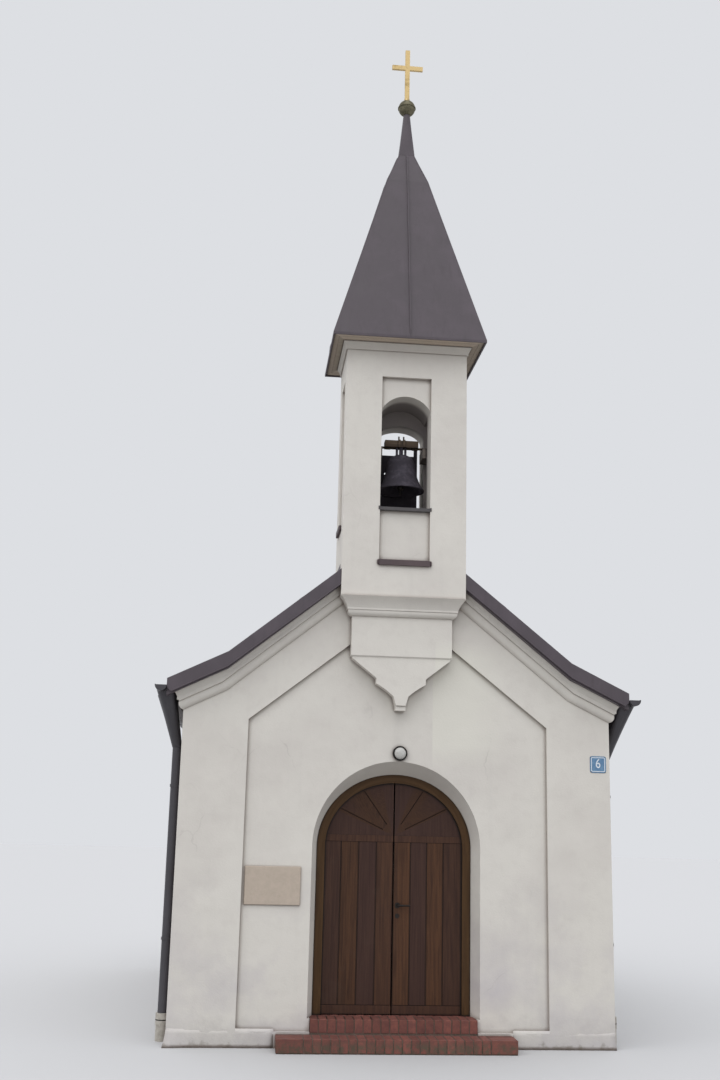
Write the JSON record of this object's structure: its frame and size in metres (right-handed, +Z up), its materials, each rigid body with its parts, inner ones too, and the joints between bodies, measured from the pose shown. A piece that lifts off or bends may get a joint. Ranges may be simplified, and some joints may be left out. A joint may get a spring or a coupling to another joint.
{
  "type": "chapel",
  "caption": "Small whitewashed village chapel with a corbelled bell turret, slate-grey metal spire with a gilded cross, and an arched double door.",
  "frame": {"origin": "middle of the nave's plan at ground level", "axes": "+Z up, +X to the right of someone who faces the front, +Y from the front to the back"},
  "size_m": [4.6702, 6.401, 10.3996],
  "materials": {
    "lime_render": "matt, brushed whitewash",
    "paving_stone": "worn",
    "roof_sheet": "satin, weathered",
    "sill_sheet": "satin",
    "gutter_sheet": "satin",
    "soffit_boards": "painted, matt",
    "ball_metal": "satin",
    "gilding": "gilded, worn",
    "standpipe_iron": "grey paint",
    "clinker": "hard fired",
    "door_oak": "stained and oiled",
    "bearer_oak": "weathered",
    "ironwork": "black, waxed",
    "window_glass": "clear",
    "lamp_glass": "opal",
    "plaque_stone": "honed",
    "enamel": "enamelled steel, glossy",
    "bell_bronze": "dark patina"
  },
  "bodies": {
    "building": {"floor_slab": "paving_stone", "front_wall_left": "lime_render", "front_wall_right": "lime_render", "front_gable": "lime_render", "left_wall": "lime_render", "right_wall": "lime_render", "rear_wall": "lime_render", "front_cornices": "lime_render", "rear_cornices": "lime_render", "eaves_cornices": "lime_render", "corbel_box": "lime_render", "corbel_moulding": "lime_render", "corbel_pendant": "lime_render", "tower_base": "lime_render", "tower_front_jambs": "lime_render", "tower_side_walls": "lime_render", "tower_rear_jambs": "lime_render", "tower_head": "lime_render", "tower_cornice": "lime_render", "bell_sills": "sill_sheet", "tower_ledges": "sill_sheet", "rear_shutter": "bearer_oak", "roof_left": "roof_sheet", "roof_right": "roof_sheet", "ridge_cap": "roof_sheet", "front_verges": "roof_sheet", "rear_verges": "roof_sheet", "spire": "roof_sheet", "spire_soffit": "soffit_boards", "spire_cap": "roof_sheet", "spire_ball": "ball_metal", "spire_cross": "gilding", "gutters": "gutter_sheet", "downpipes": "gutter_sheet", "standpipes": "standpipe_iron", "lower_step": "clinker", "upper_step": "clinker", "door_frame": "door_oak", "door_hinges": "ironwork", "window_frames": "door_oak", "window_glass": "window_glass", "window_sills": "paving_stone", "wall_lamp": "lamp_glass", "plaque": "plaque_stone", "number_plate": "enamel", "bell_bearers": "bearer_oak"},
    "left_leaf": {"door_leaf_left": "door_oak"},
    "right_leaf": {"door_leaf_right": "door_oak", "door_roses": "ironwork"},
    "handle": {"door_handle": "ironwork"},
    "bell": {"bell": "bell_bronze", "bell_clapper": "ironwork", "bell_headstock": "bearer_oak"}
  },
  "joints": [
    {"name": "left_leaf_hinge", "type": "hinge", "parent": "building", "child": "left_leaf", "pos_m": [-0.681, -2.572, 1.04], "axis": [0, 0, 1], "range_deg": [0, 90]},
    {"name": "right_leaf_hinge", "type": "hinge", "parent": "building", "child": "right_leaf", "pos_m": [0.681, -2.572, 1.04], "axis": [0, 0, -1], "range_deg": [0, 90]},
    {"name": "handle_turn", "type": "hinge", "parent": "right_leaf", "child": "handle", "pos_m": [0.045, -2.6, 1.235], "axis": [0, 1, 0], "range_deg": [0, 35], "stiffness_Nm_per_rad": 1},
    {"name": "bell_swing", "type": "hinge", "parent": "building", "child": "bell", "pos_m": [0, -2.693, 5.762], "axis": [1, 0, 0], "range_deg": [-9, 9]}
  ]
}
